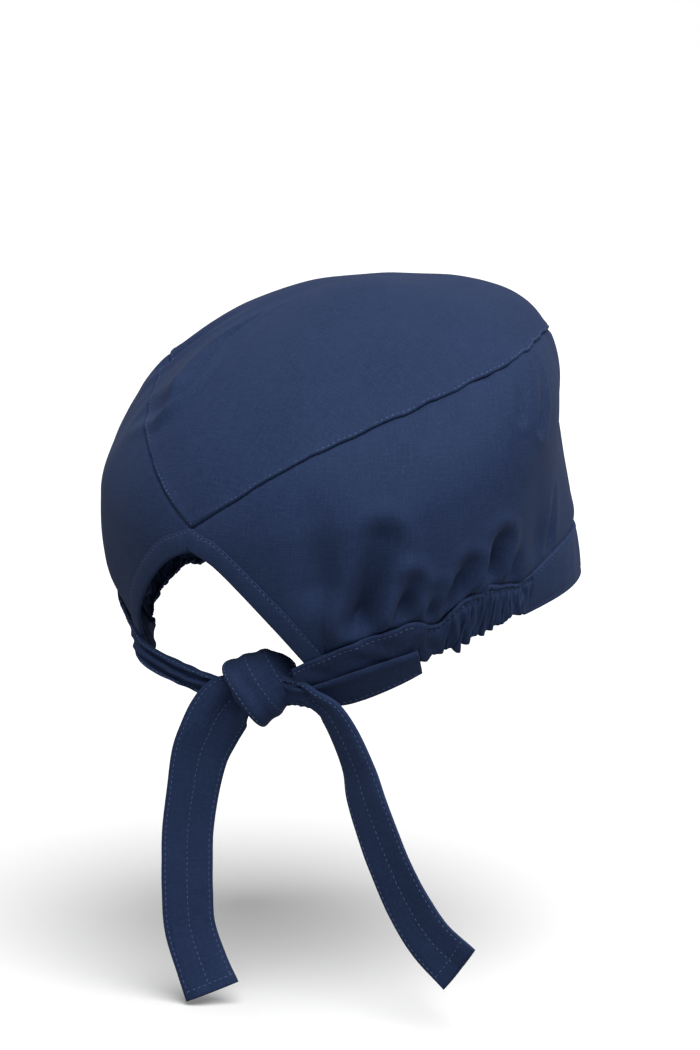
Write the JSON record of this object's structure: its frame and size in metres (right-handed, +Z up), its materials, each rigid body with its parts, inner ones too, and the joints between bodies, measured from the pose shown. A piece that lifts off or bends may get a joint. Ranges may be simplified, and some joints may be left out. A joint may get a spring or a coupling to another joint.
{
  "type": "tie-back scrub cap",
  "caption": "Navy tie-back scrub cap: leaf-shaped crown panel, side panel, keyhole back, brow band, gathered elastic casings, knotted ties with hanging tails.",
  "frame": {"origin": "inside of the crown's highest point, where the head bears on the cap", "axes": "+Z up, the forehead faces -Y, the back of the head and the keyhole face +Y, the wearer's right is -X"},
  "size_m": [0.2072, 0.1958, 0.2841],
  "materials": {
    "panel_cloth": "matt woven poly-cotton, navy, with a faint blue sheen",
    "hem_cloth": "matt woven poly-cotton, navy, turned and topstitched",
    "band_cloth": "matt woven poly-cotton, navy, folded and topstitched",
    "tie_cloth": "matt woven poly-cotton, navy, with three rows of topstitching"
  },
  "bodies": {
    "root": {"top_panel": "panel_cloth", "side_panel": "panel_cloth", "keyhole_facing_right": "hem_cloth", "keyhole_facing_left": "hem_cloth", "brow_band": "band_cloth", "elastic_casing_right": "band_cloth", "elastic_casing_left": "band_cloth", "tie_right": "tie_cloth", "tie_left": "tie_cloth", "knot": "tie_cloth", "tie_tail_right": "tie_cloth", "tie_tail_left": "tie_cloth"}
  },
  "joints": []
}
